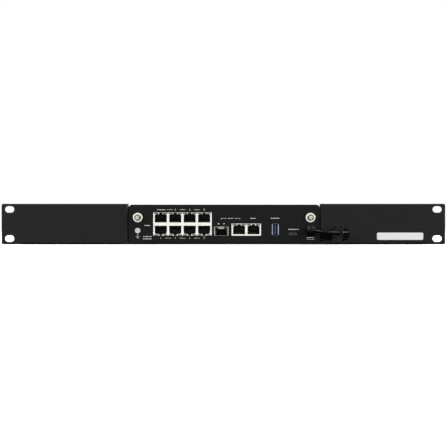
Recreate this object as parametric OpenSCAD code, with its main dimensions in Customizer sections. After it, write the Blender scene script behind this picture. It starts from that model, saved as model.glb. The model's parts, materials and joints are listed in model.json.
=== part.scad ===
// Rack-mounted firewall appliance. A one-unit 19-inch tray carries a desktop firewall with its port side
// forward between two wings, and the power adapter sits behind the right-hand wing.
// X runs to the right, Y to the back and Z up. The origin is the centre of the rack-mounting plane,
// which is the rear face of the two ears. All lengths are in millimetres.

/* [Rack tray] */
// Width across the rack ears
panel_w = 482.6; // [482:0.1:483]
// Height of the front panel, one rack unit less its clearance
panel_h = 44; // [43.6:0.1:44.4]
// Thickness of the folded steel sheet
sheet = 1.5; // [1.2:0.1:1.6]
// Width of the tray behind the ears
tray_w = 443; // [440:1:446]
// Depth of the tray behind the mounting plane
tray_d = 215; // [210:1:240]
// Outside radius of every fold
bend_r = 2.2; // [2:0.1:2.6]
// Height of the rear wall's top edge
rear_top = -1.5; // [-4:0.5:-1]
// Depth of the flange along the top of each wing
flange_d = 14; // [10:1:18]
// Spacing of the rack slots across the panel
slot_pitch_x = 465.1; // [465.1]
// Spacing of the rack slots up the panel
slot_pitch_z = 31.75; // [31.75]
// Length of a rack slot
slot_l = 10; // [9:0.5:11]
// Width of a rack slot
slot_w = 7; // [6.8:0.1:7.2]

/* [Appliance case] */
// Centre of the case and of its bay, to the right of the tray's centre
case_x = 0.8; // [0:0.1:1]
// Width of the case
case_w = 208; // [206:0.5:208]
// Depth of the case
case_d = 198; // [190:1:198]
// Clearance between the tray floor and the case, filled by foam pads
case_lift = 0.4; // [0.4]
// Height of the case
case_h = 41.2; // [41:0.1:41.2]
// Radius of the case's upper long edges
case_r = 4; // [3:0.5:5]
// Wall of the cover
cover_t = 1.5; // [1.2:0.1:1.6]

/* [Ports] */
// Centre of the block of eight network jacks
lan_x = -44.5; // [-45:0.1:-44]
// Spacing of network jacks side by side
port_pitch = 15.7; // [15.6:0.1:15.8]
// Centre of the pair of uplink jacks
wan_x = 24.9; // [24:0.1:25]
// Centre of the optical module cage
sfp_x = -2.3; // [-2.6:0.1:-2]
// Centre of the blue data port
usb_x = 56.5; // [56:0.1:57]
// Centre of the console port
console_x = 75.7; // [75:0.1:76]
// Centre of the power jack
jack_x = 94.7; // [94.5:0.1:95]
// Distance of each aerial jack from the case's centre
aerial_dx = 94; // [93:0.5:94]
// Height of the aerial jacks
aerial_z = 7; // [6.5:0.5:7.5]
// Centre of the two recessed buttons
button_x = -83.1; // [-84:0.1:-82]
// Travel of a recessed button
button_travel = 0.5; // [0.3:0.1:0.5]

/* [Power] */
// Diameter of the power lead
lead_d = 3.6; // [3.4:0.1:3.8]
// Place of the lead bushing along the right wing
bushing_x = 124.2; // [123:0.1:126]
// Height of the lead bushing
bushing_z = -10.1; // [-10.4:0.1:-9.8]
// Centre of the adapter behind the right wing
adapter_x = 165; // [165]
// Width of the adapter
adapter_w = 54; // [50:1:60]
// Length of the adapter
adapter_l = 112; // [100:1:114]
// Height of the adapter
adapter_h = 32; // [30:1:34]

/* [Hidden] */
$fn = 48;

half_h = panel_h / 2;
floor_z = -half_h + sheet;
wall_top = half_h - sheet - 0.2;
bay_gap = 0.5;
bay_left = case_x - case_w / 2 - bay_gap;
bay_right = case_x + case_w / 2 + bay_gap;
bay_wall_d = 12;
window_x = 126.4;
window_z = -10.8;
window_l = 22;
window_h = 15.3;
window_slot = 10.4;
case_z = floor_z + case_lift;
case_top = case_z + case_h;
case_left = case_x - case_w / 2;
case_right = case_x + case_w / 2;
face_y = -1;
face_t = 1.2;
case_y = face_y + face_t;
bezel_t = 3;
bezel_y = face_y + case_d - bezel_t;
base_t = 1;
base_lip = 10;
board_top = -12.8;
board_t = 1.6;
board_d = 165;
jack_front = face_y - 0.6;
jack_wall = 0.4;
jack_d = 24;
cavity_back = 15;
lan_w = 63.6;
lan_h = 25.4;
lan_mid = board_top + lan_h / 2;
lan_bar = 1.85;
uplink_w = 32.1;
uplink_h = 13.3;
uplink_sill = 2;
key_h = [8.3, 8.9, 10.6];
key_half = [6.2, 4.2, 1.8];
light_u = 2.9;
light_w = 4.3;
light_h = 1.6;
power_jack_z = -7.2;
reset_z = -4.3;
defaults_z = -10.1;
earth_x = case_x - aerial_dx;
earth_z = -7.2;
bracket_t = 1.2;
guide_y = [32, 180];
guide_h = 18;
guide_foot = 15;
guide_gap = 0.8;
screw_r = 1.45;
screw_hole_r = 1.5;
guide_screw_y = [48, 106, 164];
side_screw_y = [70, 150];
side_screw_z = -8;
foam_t = 0.8;
stop_y = face_y + case_d + 0.8;
stop_h = 12;
stop_half = 45;
adapter_y = 95;
adapter_z = floor_z + 0.5;
adapter_wall = 2;
inlet_gap = 40;
clamp_y = [130, 160];
clamp_foot = 14;
lead_bore_r = lead_d / 2 + 0.1;
plug_bend_y = -22;
tail_r = 30;
tail_a = 25;
lead_turn_y = 20;
loop_span = norm([bushing_x - jack_x, bushing_z - power_jack_z]);
loop_tilt = atan2(power_jack_z - bushing_z, bushing_x - jack_x);
loop_r = (loop_span - tail_r * (1 - cos(tail_a))) / (1 + cos(tail_a));
loop_y = plug_bend_y - tail_r * sin(tail_a) + loop_r * sin(tail_a);
bend_in_r = 35;
bend_in_a = 60;

// ---- helpers ----

// Block between two corners given as ranges along X, Y and Z.
module block(x, y, z) {
    translate([x[0], y[0], z[0]]) cube([x[1] - x[0], y[1] - y[0], z[1] - z[0]]);
}

// Extrudes an (x, z) outline from y0 to y1.
module along_y(y0, y1) {
    translate([0, y1, 0]) rotate([90, 0, 0]) linear_extrude(y1 - y0) children();
}

// Extrudes a (y, z) outline from x0 to x1.
module along_x(x0, x1) {
    translate([x0, 0, 0]) rotate([90, 0, 90]) linear_extrude(x1 - x0) children();
}

// Round bar along Y at (x, z).
module bar_y(x, z, y0, y1, r) {
    translate([x, y1, z]) rotate([90, 0, 0]) cylinder(r = r, h = y1 - y0);
}

// Round bar along X at (y, z).
module bar_x(y, z, x0, x1, r) {
    translate([x0, y, z]) rotate([0, 90, 0]) cylinder(r = r, h = x1 - x0);
}

// Rectangle given by two ranges, with all four corners rounded.
module round_rect(a, b, r) {
    translate([a[0] + r, b[0]]) square([a[1] - a[0] - 2 * r, b[1] - b[0]]);
    translate([a[0], b[0] + r]) square([a[1] - a[0], b[1] - b[0] - 2 * r]);
    for (u = [a[0] + r, a[1] - r], v = [b[0] + r, b[1] - r]) translate([u, v]) circle(r = r);
}

// Rectangle given by two ranges, with only its two lower corners rounded.
module round_foot(a, b, r) {
    translate([a[0], b[0] + r]) square([a[1] - a[0], b[1] - b[0] - r]);
    translate([a[0] + r, b[0]]) square([a[1] - a[0] - 2 * r, r]);
    for (u = [a[0] + r, a[1] - r]) translate([u, b[0] + r]) circle(r = r);
}

// Slot with round ends, its length along the first axis.
module obround(l, w) {
    square([l - w, w], center = true);
    for (s = [-1, 1]) translate([s * (l - w) / 2, 0]) circle(r = w / 2);
}

// Hole for a floor screw through a sheet of thickness t that lies on z.
module screw_hole(x, y, z, t) {
    translate([x, y, z - 1]) cylinder(r = screw_hole_r, h = t + 2);
}

// Pan-head screw along +Z: head above z = 0, shank below it.
module pan_screw(head_r, head_h, shank_r, shank_l) {
    difference() {
        cylinder(r = head_r, h = head_h);
        for (a = [0, 90]) rotate([0, 0, a])
            translate([-head_r * 0.6, -0.4, head_h / 2]) cube([head_r * 1.2, 0.8, head_h]);
    }
    translate([0, 0, -shank_l]) cylinder(r = shank_r, h = shank_l);
}

// ---- rack tray ----

// (y, z) section of a wing: its face, its top flange and the fold into the floor.
module wing_section() {
    difference() {
        rotate(-90) round_foot([-half_h, half_h], [-sheet, flange_d], bend_r);
        rotate(-90) round_foot([-half_h + sheet, half_h - sheet], [0, flange_d + 1], bend_r - sheet);
    }
}

// (x, z) section of the floor and the side walls.
module trough_section() {
    x = tray_w / 2;
    difference() {
        round_foot([-x, x], [-half_h, wall_top], bend_r);
        round_foot([-x + sheet, x - sheet], [floor_z, wall_top + 1], bend_r - sheet);
    }
}

// (y, z) section of the rear wall and its fold up from the floor.
module rear_section() {
    difference() {
        round_foot([0, tray_d], [-half_h, rear_top], bend_r);
        round_foot([-1, tray_d - sheet], [floor_z, rear_top + 1], bend_r - sheet);
        translate([-2, -half_h - 1]) square([tray_d - bend_r + 2, panel_h]);
    }
}

// Fold down the inner edge of the right-hand wing, seen from above, at bay edge x.
module inner_fold(x) {
    translate([0, 0, floor_z]) linear_extrude(half_h - floor_z) {
        difference() {
            translate([x + bend_r, -sheet + bend_r]) circle(r = bend_r);
            translate([x + bend_r, -sheet + bend_r]) circle(r = bend_r - sheet);
            translate([x + bend_r, -sheet]) square(2 * bend_r);
            translate([x, -sheet + bend_r]) square(2 * bend_r);
        }
        translate([x, -sheet + bend_r]) square([sheet, bay_wall_d - bend_r + sheet]);
        translate([x + bend_r, -sheet]) square([2, sheet]);
    }
}

// One wing with its ear, drawn on the right, for a bay edge at x.
module wing(x) {
    along_x(x + bend_r, tray_w / 2) wing_section();
    inner_fold(x);
    along_y(-sheet, 0) difference() {
        round_rect([tray_w / 2 - 4, panel_w / 2], [-half_h, half_h], 2);
        translate([tray_w / 2 - 7, -half_h - 1]) square([7, panel_h + 2]);
    }
}

module rack_tray() {
    color("#262626") difference() {
        union() {
            along_y(0, tray_d - bend_r) trough_section();
            along_x(-tray_w / 2 + bend_r + 0.4, tray_w / 2 - bend_r - 0.4) rear_section();
            for (x = [-tray_w / 2, tray_w / 2 - sheet])
                block([x, x + sheet], [tray_d - bend_r - 1, tray_d], [-half_h + bend_r, wall_top]);
            block([bay_left - 4, bay_right + 4], [-sheet, 1], [-half_h, floor_z]);
            wing(bay_right);
            mirror([1, 0, 0]) wing(-bay_left);
        }
        for (sx = [-1, 1], sz = [-1, 1])
            translate([sx * slot_pitch_x / 2, 0, sz * slot_pitch_z / 2])
                along_y(-sheet - 1, 1) obround(slot_l, slot_w);
        along_y(-sheet - 1, bay_wall_d + 1) {
            translate([window_x, window_z]) obround(window_l, window_h);
            translate([bay_right - 2, window_z - window_h / 2])
                square([window_x - bay_right + 2, window_slot]);
        }
        for (x = [-72 : 18 : 72], y = [60, 130])
            translate([case_x + x, y, -half_h - 1]) rotate([0, 0, 90])
                linear_extrude(sheet + 2) obround(44, 4);
        for (x = [-206 : 14 : -136], y = [60, 130])
            translate([x, y, -half_h - 1]) rotate([0, 0, 90]) linear_extrude(sheet + 2) obround(44, 4);
        for (sx = [-1, 1], y = [40 : 14 : 180])
            translate([sx * tray_w / 2 - 3, y, -2]) rotate([0, 90, 0])
                linear_extrude(6) obround(20, 4);
        for (p = floor_screws()) screw_hole(p[0], p[1], -half_h, sheet);
        block([adapter_x - inlet_gap / 2, adapter_x + inlet_gap / 2], [tray_d - 4, tray_d + 1],
              [floor_z + 3.5, rear_top + 1]);
        for (x = [-200 : 20 : -120]) along_y(tray_d - 4, tray_d + 1) translate([x, -10]) obround(14, 4);
    }
}

// ---- brackets and their screws ----

guide_foot_x = [bay_left - guide_gap + bay_gap - bracket_t - guide_foot / 2 + 1,
                bay_right + guide_gap - bay_gap + bracket_t + guide_foot / 2 - 1];
stop_screw_x = [case_x - 34, case_x + 34];
stop_screw_y = stop_y + 8;
stop_x = [case_x - stop_half, case_x + stop_half];
clamp_screw_x = [adapter_x - adapter_w / 2 - 1 - clamp_foot / 2 - 1,
                 adapter_x + adapter_w / 2 + 1 + clamp_foot / 2 + 1];
clamp_mid = (clamp_y[0] + clamp_y[1]) / 2;
lead_plate_y = 4;
lead_screw_y = 13;

function floor_screws() = concat(
    [for (x = guide_foot_x, y = guide_screw_y) [x, y]],
    [for (x = stop_screw_x) [x, stop_screw_y]],
    [for (x = clamp_screw_x) [x, clamp_mid]],
    [[bushing_x, lead_screw_y]]
);

// Side guide for the right flank of the case; leg_x is the face that looks at the case.
module guide_bracket(leg_x, foot_x) {
    difference() {
        union() {
            block([leg_x, leg_x + bracket_t], guide_y, [floor_z, floor_z + guide_h]);
            block([leg_x, leg_x + bracket_t + guide_foot], guide_y, [floor_z, floor_z + bracket_t]);
        }
        for (y = guide_screw_y) screw_hole(foot_x, y, floor_z, bracket_t);
        for (y = side_screw_y) bar_x(y, side_screw_z, leg_x - 1, leg_x + bracket_t + 1, 1.6);
    }
}

module right_guide_bracket() {
    color("#303030") guide_bracket(case_right + guide_gap, guide_foot_x[1]);
}

module left_guide_bracket() {
    color("#303030") mirror([1, 0, 0]) guide_bracket(-case_left + guide_gap, -guide_foot_x[0]);
}

// Angle across the back of the case that stops it sliding out.
module rear_stop_bracket() {
    color("#303030") difference() {
        union() {
            block(stop_x, [stop_y, stop_y + bracket_t], [floor_z, floor_z + stop_h]);
            block(stop_x, [stop_y, stop_y + 14], [floor_z, floor_z + bracket_t]);
        }
        for (x = stop_screw_x) screw_hole(x, stop_screw_y, floor_z, bracket_t);
    }
}

// Strap over the adapter, standing on a foot each side.
module adapter_clamp() {
    in_half = adapter_w / 2 + 0.6;
    out_half = in_half + bracket_t;
    top = adapter_z + adapter_h + foam_t;
    color("#303030") difference() {
        translate([adapter_x, 0, 0]) union() {
            for (s = [0, 1]) mirror([s, 0, 0]) {
                block([in_half, out_half], clamp_y, [floor_z, top + bracket_t]);
                block([in_half, out_half + clamp_foot], clamp_y, [floor_z, floor_z + bracket_t]);
            }
            block([-out_half, out_half], clamp_y, [top, top + bracket_t]);
        }
        for (x = clamp_screw_x) screw_hole(x, clamp_mid, floor_z, bracket_t);
    }
}

module bracket_screws() {
    color("#b8b8b8") for (p = floor_screws())
        translate([p[0], p[1], floor_z + bracket_t]) pan_screw(2.8, 2, screw_r, bracket_t + sheet - 0.1);
}

// Screws that hold the case to its guides, through both flanks.
module case_side_screws() {
    color("#b8b8b8") for (y = side_screw_y) {
        translate([case_right + guide_gap + bracket_t, y, side_screw_z]) rotate([0, 90, 0])
            pan_screw(2.8, 2, screw_r, bracket_t + guide_gap + cover_t + 2);
        translate([case_left - guide_gap - bracket_t, y, side_screw_z]) rotate([0, -90, 0])
            pan_screw(2.8, 2, screw_r, bracket_t + guide_gap + cover_t + 2);
    }
}

// Pads under the case, beside the guides, at the stop and around the adapter.
module foam_pads() {
    color("#1c1c1c") {
        for (x = [case_left + 16, case_right - 28], y = [20, 168])
            block([x, x + 12], [y, y + 20], [floor_z, case_z]);
        for (y = [guide_y[0] + 4, guide_y[1] - 24]) {
            block([case_right, case_right + foam_t], [y, y + 20], [floor_z + 3, floor_z + guide_h - 2]);
            block([case_left - foam_t, case_left], [y, y + 20], [floor_z + 3, floor_z + guide_h - 2]);
        }
        block([stop_x[0] + 4, stop_x[1] - 4], [stop_y - foam_t, stop_y], [case_z + 1, floor_z + stop_h - 1]);
        block([adapter_x - 20, adapter_x + 20], clamp_y,
              [adapter_z + adapter_h, adapter_z + adapter_h + foam_t]);
        for (y = [adapter_y + 6, adapter_y + adapter_l - 26])
            block([adapter_x - 20, adapter_x + 20], [y, y + 20], [floor_z, adapter_z]);
    }
}

// Blank adhesive label at the foot of the right-hand wing.
module front_label() {
    color("#f2efee") along_y(-sheet - 0.3, -sheet) round_rect([167, 217.4], [-17.3, -9.4], 1.6);
}

// ---- appliance case ----

// (x, z) outline of the case: round upper edges, nearly square lower ones.
module case_outline(inset) {
    x = [case_left + inset, case_right - inset];
    r = case_r - inset;
    translate([x[0], case_z + inset]) square([x[1] - x[0], case_h - 2 * inset - r]);
    translate([x[0] + r, case_z + inset]) square([x[1] - x[0] - 2 * r, case_h - 2 * inset]);
    for (u = [x[0] + r, x[1] - r]) translate([u, case_top - inset - r]) circle(r = r);
}

// Keyhole of a network jack: wide at the contacts, stepped in to the latch. up is 1 or -1.
module jack_keyhole(x, z, up) {
    translate([x, z]) for (i = [0 : 2])
        translate([-key_half[i], up > 0 ? 0 : -key_h[i]]) square([2 * key_half[i], key_h[i]]);
}

function lan_ports() = [
    for (c = [-1.5 : 1 : 1.5], up = [-1, 1]) [lan_x + c * port_pitch, lan_mid + up * lan_bar, up]
];
function uplink_ports() = [for (c = [-0.5, 0.5]) [wan_x + c * port_pitch, board_top + uplink_sill, 1]];

module port_panel() {
    gap = 0.2;
    color("#1f1f1f") along_y(face_y, case_y) difference() {
        case_outline(0);
        translate([lan_x - lan_w / 2 - gap, board_top - gap]) square([lan_w + 2 * gap, lan_h + 2 * gap]);
        translate([wan_x - uplink_w / 2 - gap, board_top - gap])
            square([uplink_w + 2 * gap, uplink_h + 2 * gap]);
        translate([sfp_x - 7.5, board_top - gap]) square([15, cage_h + 2 * gap]);
        translate([usb_x, -5.9]) square([6.4, 13.6], center = true);
        translate([console_x, -10.8]) obround(9.4, 3.6);
        translate([jack_x, power_jack_z]) circle(r = 5.3);
        for (s = [-1, 1]) translate([case_x + s * aerial_dx, aerial_z]) circle(r = neck_r + 0.1);
        translate([earth_x, earth_z]) circle(r = 1.6);
        for (z = [reset_z, defaults_z]) translate([button_x, z]) circle(r = 1);
    }
}

module case_base() {
    in = cover_t + 0.1;
    color("#8f9194") difference() {
        union() {
            block([case_left + in, case_right - in], [case_y, bezel_y], [case_z, case_z + base_t]);
            for (s = [0, 1]) {
                x = s ? case_right - in - base_t : case_left + in;
                block([x, x + base_t], [case_y, bezel_y], [case_z, case_z + base_lip]);
            }
        }
        for (x = [-72 : 18 : 72], y = [60, 130])
            translate([case_x + x, y, case_z - 1]) rotate([0, 0, 90])
                linear_extrude(base_t + 2) obround(36, 3);
        for (y = cover_screw_y) bar_x(y, cover_screw_z, case_left - 1, case_right + 1, screw_hole_r);
    }
}

cover_screw_y = [20, 189];
cover_screw_z = case_z + 6;

module case_cover() {
    color("#2b2b2b") difference() {
        along_y(case_y, bezel_y) difference() {
            case_outline(0);
            case_outline(cover_t);
            translate([case_left + cover_t, case_z - 1]) square([case_w - 2 * cover_t, cover_t + 2]);
        }
        for (x = [-80 : 10 : 80], y = [50, 110, 160])
            translate([case_x + x, y, case_top - cover_t - 1]) rotate([0, 0, 90])
                linear_extrude(cover_t + 2) obround(30, 3);
        for (y = [40 : 12 : 184]) translate([case_x, y, 8]) rotate([0, 90, 0])
            linear_extrude(case_w + 2, center = true) obround(16, 3);
        for (y = cover_screw_y) bar_x(y, cover_screw_z, case_left - 1, case_right + 1, screw_hole_r);
        for (y = side_screw_y) bar_x(y, side_screw_z, case_left - 1, case_right + 1, screw_hole_r);
    }
}

// Plastic bezel on the case's own front, which faces the back of the rack.
module case_bezel() {
    color("#1a1a1a") difference() {
        along_y(bezel_y, bezel_y + bezel_t) case_outline(0);
        block([case_x - 60, case_x + 60], [bezel_y + bezel_t - 0.8, bezel_y + bezel_t + 1], [4, 14]);
        for (i = [0 : 9]) bar_y(case_x - 45 + i * 10, 9, bezel_y - 1, bezel_y + bezel_t + 1, 1.1);
    }
}

module status_lights() {
    color("#bfe6c4") for (i = [0 : 9])
        bar_y(case_x - 45 + i * 10, 9, bezel_y - 3, bezel_y + bezel_t - 0.5, 1);
}

module cover_screws() {
    color("#b8b8b8") for (y = cover_screw_y) {
        translate([case_right, y, cover_screw_z]) rotate([0, 90, 0]) pan_screw(2.4, 0.7, screw_r, 4);
        translate([case_left, y, cover_screw_z]) rotate([0, -90, 0]) pan_screw(2.4, 0.7, screw_r, 4);
    }
}

// ---- network jacks ----

// Metal shell of a jack block: front plate with keyholes and light windows, closed back, open foot.
module jack_shield(x, w, h, ports) {
    y1 = jack_front + jack_wall;
    block([x - w / 2, x - w / 2 + jack_wall], [y1, jack_d], [board_top, board_top + h]);
    block([x + w / 2 - jack_wall, x + w / 2], [y1, jack_d], [board_top, board_top + h]);
    block([x - w / 2, x + w / 2], [y1, jack_d], [board_top + h - jack_wall, board_top + h]);
    block([x - w / 2, x + w / 2], [jack_d - jack_wall, jack_d], [board_top, board_top + h]);
    along_y(jack_front, y1) difference() {
        translate([x - w / 2, board_top]) square([w, h]);
        for (p = ports) {
            jack_keyhole(p[0], p[1], p[2]);
            for (s = [-1, 1]) light_window(p, s, 0);
        }
    }
}

// Outline of one light window beside the latch of port p; s picks the side.
module light_window(p, s, inset) {
    v = key_h[1] + 0.2;
    z = p[2] > 0 ? p[1] + v : p[1] - v - light_h;
    u = s > 0 ? light_u : -light_u - light_w;
    translate([p[0] + u + inset, z + inset]) square([light_w - 2 * inset, light_h - 2 * inset]);
}

// Plastic body inside the shell, with a cavity behind each keyhole.
module jack_insert(x, w, h, ports) {
    difference() {
        block([x - w / 2 + jack_wall, x + w / 2 - jack_wall], [jack_front + jack_wall, jack_d - jack_wall],
              [board_top, board_top + h - jack_wall]);
        along_y(jack_front - 1, cavity_back) for (p = ports) jack_keyhole(p[0], p[1], p[2]);
    }
}

// Eight springs in each cavity, rising from the mouth to the back wall.
module contacts(ports) {
    for (p = ports, i = [0 : 7]) {
        x = p[0] - 3.57 + i * 1.02;
        translate([0, 0, p[1]]) mirror([0, 0, p[2] > 0 ? 0 : 1])
            along_x(x - 0.22, x + 0.22)
                polygon([[3, 0.9], [cavity_back, 3.8], [cavity_back, 4.15], [3, 1.2]]);
    }
}

module light_windows(ports) {
    along_y(jack_front - 0.1, jack_front + jack_wall)
        for (p = ports, s = [-1, 1]) light_window(p, s, 0.02);
}

module lan_jack_shield() { color("#d9d9d6") jack_shield(lan_x, lan_w, lan_h, lan_ports()); }
module lan_jack_insert() { color("#141414") jack_insert(lan_x, lan_w, lan_h, lan_ports()); }
module uplink_jack_shield() { color("#d9d9d6") jack_shield(wan_x, uplink_w, uplink_h, uplink_ports()); }
module uplink_jack_insert() { color("#141414") jack_insert(wan_x, uplink_w, uplink_h, uplink_ports()); }
module jack_contacts() { color("#caa24a") contacts(concat(lan_ports(), uplink_ports())); }
module jack_light_windows() { color("#cfd8bd") light_windows(concat(lan_ports(), uplink_ports())); }

// ---- module cage, data port and console port ----

cage_h = 10;
cage_d = 48;
cage_wall = 0.5;

module module_cage() {
    z0 = board_top;
    mid = z0 + cage_h / 2;
    color("#9d9a94") {
        along_y(face_y - 0.5, cage_d) difference() {
            translate([sfp_x, mid]) square([14.6, cage_h], center = true);
            translate([sfp_x, mid]) square([14.6 - 2 * cage_wall, cage_h - 2 * cage_wall], center = true);
        }
        along_y(face_y - 1.1, face_y - 0.5) difference() {
            translate([sfp_x, mid + 0.1]) square([16.2, cage_h + 0.2], center = true);
            translate([sfp_x, mid]) square([13.4, cage_h - 2 * cage_wall], center = true);
        }
        block([sfp_x - 7.3, sfp_x + 7.3], [cage_d, cage_d + cage_wall], [z0, z0 + cage_h]);
        block([sfp_x - 3.3, sfp_x + 3.3], [face_y, face_y + 0.4], [z0 + cage_h - 3, z0 + cage_h - cage_wall]);
    }
}

module module_connector() {
    color("#181818") difference() {
        block([sfp_x - 5.5, sfp_x + 5.5], [36, cage_d], [board_top + cage_wall, board_top + 6.5]);
        block([sfp_x - 4.6, sfp_x + 4.6], [35, 44], [board_top + 2.6, board_top + 4.4]);
    }
}

usb_z = -5.9;
usb_front = face_y - 0.8;

module data_port_shell() {
    color("#b9bcc0") {
        along_y(usb_front, 16) difference() {
            translate([usb_x, usb_z]) square([5.9, 13.1], center = true);
            translate([usb_x, usb_z]) square([5.2, 12.4], center = true);
        }
        block([usb_x - 2.95, usb_x + 2.95], [16, 16.4], [usb_z - 6.55, usb_z + 6.55]);
        for (s = [0, 1]) mirror([s, 0, 0]) translate([s ? -2 * usb_x : 0, 0, 0])
            translate([usb_x, 0, usb_z - 5.6]) linear_extrude(11.2)
                polygon([[2.95, usb_front + 0.5], [2.95, usb_front],
                         [3.8, usb_front - 0.4], [3.8, usb_front]]);
    }
}

module data_port_tongue() {
    color("#1f4fa8") {
        block([usb_x - 2.6, usb_x + 2.6], [12, 16], [usb_z - 6.2, usb_z + 6.2]);
        block([usb_x - 0.9, usb_x + 0.9], [usb_front + 1, 12], [usb_z - 5.3, usb_z + 5.3]);
    }
}

console_z = -10.8;

module console_port_shell() {
    color("#b9bcc0") {
        along_y(face_y - 0.3, 7) difference() {
            translate([console_x, console_z]) obround(9, 3.2);
            translate([console_x, console_z]) obround(8.4, 2.6);
        }
        along_y(7, 7.3) translate([console_x, console_z]) obround(9, 3.2);
    }
}

module console_port_tongue() {
    color("#181818")
        block([console_x - 3.35, console_x + 3.35], [0.2, 7], [console_z - 0.35, console_z + 0.35]);
}

// ---- power jack, plug, lead and bushing ----

jack_face = face_y - 1.4;
socket_r = 2.85;
plug_back = -20;

module power_jack() {
    color("#161616") difference() {
        union() {
            bar_y(jack_x, power_jack_z, jack_face, case_y + 1, 5.2);
            block([jack_x - 5.2, jack_x + 5.2], [case_y + 1, 14], [board_top, power_jack_z + 5.2]);
        }
        bar_y(jack_x, power_jack_z, jack_face - 1, 11, socket_r);
    }
}

module power_jack_pin() {
    color("#c9b27a") bar_y(jack_x, power_jack_z, 1, 11, 1);
}

// Moulded plug: round body, cone, and a tail that leans towards the bushing.
module power_plug() {
    color("#111111") difference() {
        union() {
            bar_y(jack_x, power_jack_z, plug_back, jack_face, 5.6);
            translate([jack_x, plug_back, power_jack_z]) rotate([90, 0, 0])
                cylinder(r1 = 5.6, r2 = 3.6, h = 3);
            in_loop_plane() lead_arc(tail_r, 180, tail_a, 3.1);
        }
        bar_y(jack_x, power_jack_z, plug_bend_y + 0.1, plug_bend_y + 6, lead_bore_r);
        translate([jack_x, plug_bend_y, power_jack_z]) sphere(r = lead_bore_r + 0.02);
        in_loop_plane() lead_arc(tail_r, 180.2, tail_a + 1, lead_bore_r);
        bar_y(jack_x, power_jack_z, jack_face - 9, jack_face + 1, 2.75);
    }
}

module plug_barrel() {
    color("#c8c8c8") difference() {
        bar_y(jack_x, power_jack_z, jack_face - 9, 9.5, 2.75);
        bar_y(jack_x, power_jack_z, -1, 10.5, 1.15);
    }
}

// Black angle behind the right wing that carries the bushing.
module lead_bracket() {
    color("#303030") difference() {
        union() {
            block([bushing_x - 5.7, bushing_x + 5.7], [lead_plate_y, lead_plate_y + bracket_t],
                  [floor_z, bushing_z + 5.7]);
            block([bushing_x - 7, bushing_x + 7], [lead_plate_y, lead_plate_y + 14],
                  [floor_z, floor_z + bracket_t]);
        }
        bar_y(bushing_x, bushing_z, lead_plate_y - 1, lead_plate_y + bracket_t + 1, 4.6);
        screw_hole(bushing_x, lead_screw_y, floor_z, bracket_t);
    }
}

// Bushing with a cupped nose in front of the wing, a neck through the bracket and a tapered tail.
module lead_bushing() {
    y1 = lead_plate_y + bracket_t;
    color("#101010") difference() {
        union() {
            difference() {
                bar_y(bushing_x, bushing_z, -8, lead_plate_y, 5.9);
                bar_y(bushing_x, bushing_z, -9, -5.5, 4.9);
            }
            bar_y(bushing_x, bushing_z, -7.6, -5, 3.1);
            bar_y(bushing_x, bushing_z, lead_plate_y - 1, y1 + 1, 4.58);
            bar_y(bushing_x, bushing_z, y1, y1 + 1.8, 5.6);
            translate([bushing_x, y1 + 1.8, bushing_z]) rotate([-90, 0, 0])
                cylinder(r1 = 3.6, r2 = 2.6, h = 8);
        }
        bar_y(bushing_x, bushing_z, -9, 20, lead_bore_r);
    }
}

// Tapered boot where the lead enters the adapter.
module lead_boot() {
    color("#101010") difference() {
        union() {
            bar_y(adapter_x, bushing_z, adapter_y, adapter_y + adapter_wall + 1.5, 3.97);
            translate([adapter_x, adapter_y, bushing_z]) rotate([90, 0, 0])
                cylinder(r1 = 4.6, r2 = 2.7, h = 10);
        }
        bar_y(adapter_x, bushing_z, adapter_y - 13, adapter_y + 5, lead_bore_r);
    }
}

// Places its children in the plane of the loop, with the plug's bend at the left end of the tail's radius.
module in_loop_plane() {
    translate([jack_x, plug_bend_y, power_jack_z]) rotate([0, loop_tilt, 0])
        translate([tail_r, 0, 0]) children();
}

// Part of a ring in the XY plane, from angle a0 through da, with a round section of radius r.
module lead_arc(ring_r, a0, da, r) {
    rotate([0, 0, a0]) rotate_extrude(angle = da) translate([ring_r, 0]) circle(r = r);
}

// Points of an arc about c, from angle a0 to a1 in steps of about step degrees.
function arc_points(c, r, a0, a1, step) =
    let (n = ceil(abs(a1 - a0) / step))
    [for (i = [0 : n]) let (a = a0 + (a1 - a0) * i / n) c + r * [cos(a), sin(a)]];

// Route in the plane of the loop, as (distance from the jack's axis, y).
loop_route = concat(
    [[0, plug_bend_y + 6], [0, plug_bend_y + 3]],
    arc_points([tail_r, plug_bend_y], tail_r, 180, 180 + tail_a, 8),
    arc_points([loop_span - loop_r, loop_y], loop_r, 180 + tail_a + 11, 360, 13)
);

// Route behind the loop at the bushing's height, as (x, y).
bend_in_dx = bend_in_r * (1 - cos(bend_in_a));
bend_in_dy = bend_in_r * sin(bend_in_a);
bend_run = (adapter_x - bushing_x - 2 * bend_in_dx) / tan(bend_in_a);
bend_out_y = lead_turn_y + 2 * bend_in_dy + bend_run;
inner_route = concat(
    [for (y = [loop_y + 6 : 8 : lead_turn_y - 4]) [bushing_x, y]],
    arc_points([bushing_x + bend_in_r, lead_turn_y], bend_in_r, 180, 180 - bend_in_a, 10),
    arc_points([adapter_x - bend_in_r, bend_out_y], bend_in_r, -bend_in_a, 0, 10),
    [[adapter_x, adapter_y + 3]]
);
lead_route = concat(
    [for (p = loop_route)
        [jack_x + p[0] * cos(loop_tilt), p[1], power_jack_z - p[0] * sin(loop_tilt)]],
    [for (p = inner_route) [p[0], p[1], bushing_z]]
);

function unit(v) = v / norm(v);
function route_ring(pts, i, r, sides) =
    let (
        last = len(pts) - 1,
        along = unit(pts[min(i + 1, last)] - pts[max(i - 1, 0)]),
        across = unit(cross(along, [0, 0, 1])),
        up = cross(across, along)
    )
    [for (k = [0 : sides - 1]) pts[i] + r * (cos(360 * k / sides) * across + sin(360 * k / sides) * up)];

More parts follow.
